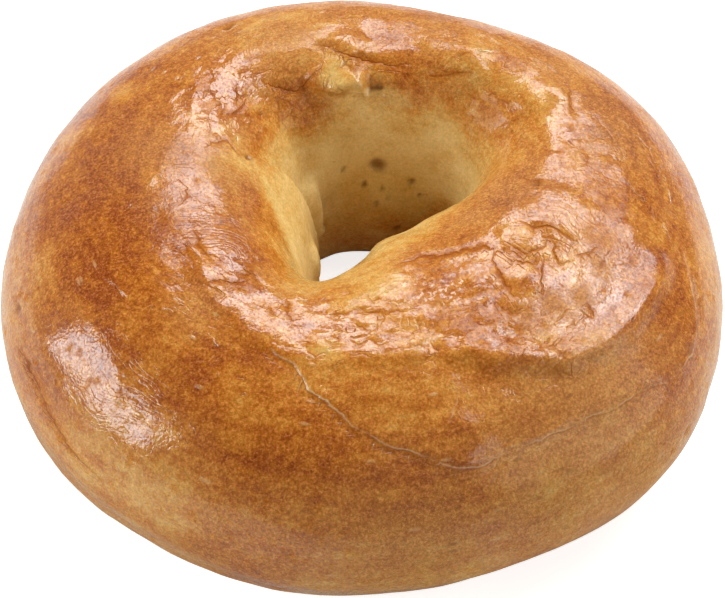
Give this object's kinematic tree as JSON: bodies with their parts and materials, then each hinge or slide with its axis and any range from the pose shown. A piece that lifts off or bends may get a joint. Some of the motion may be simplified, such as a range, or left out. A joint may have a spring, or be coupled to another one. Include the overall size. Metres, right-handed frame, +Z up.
{
  "type": "bagel",
  "caption": "Plain ring-shaped bread roll with a domed, glossy brown crust, a funnel-shaped hole behind its middle and a flat underside.",
  "frame": {"origin": "middle of the bagel's outline, on the flat underside that it rests on", "axes": "+Z up through the top of the bagel; +X to the right and -Y towards the viewer, with the hole behind the middle, at +Y"},
  "size_m": [0.1112, 0.1086, 0.0394],
  "materials": {
    "crust": "golden brown baked crust with a soft, patchy gloss"
  },
  "bodies": {
    "root": {"bagel": "crust"}
  },
  "joints": []
}
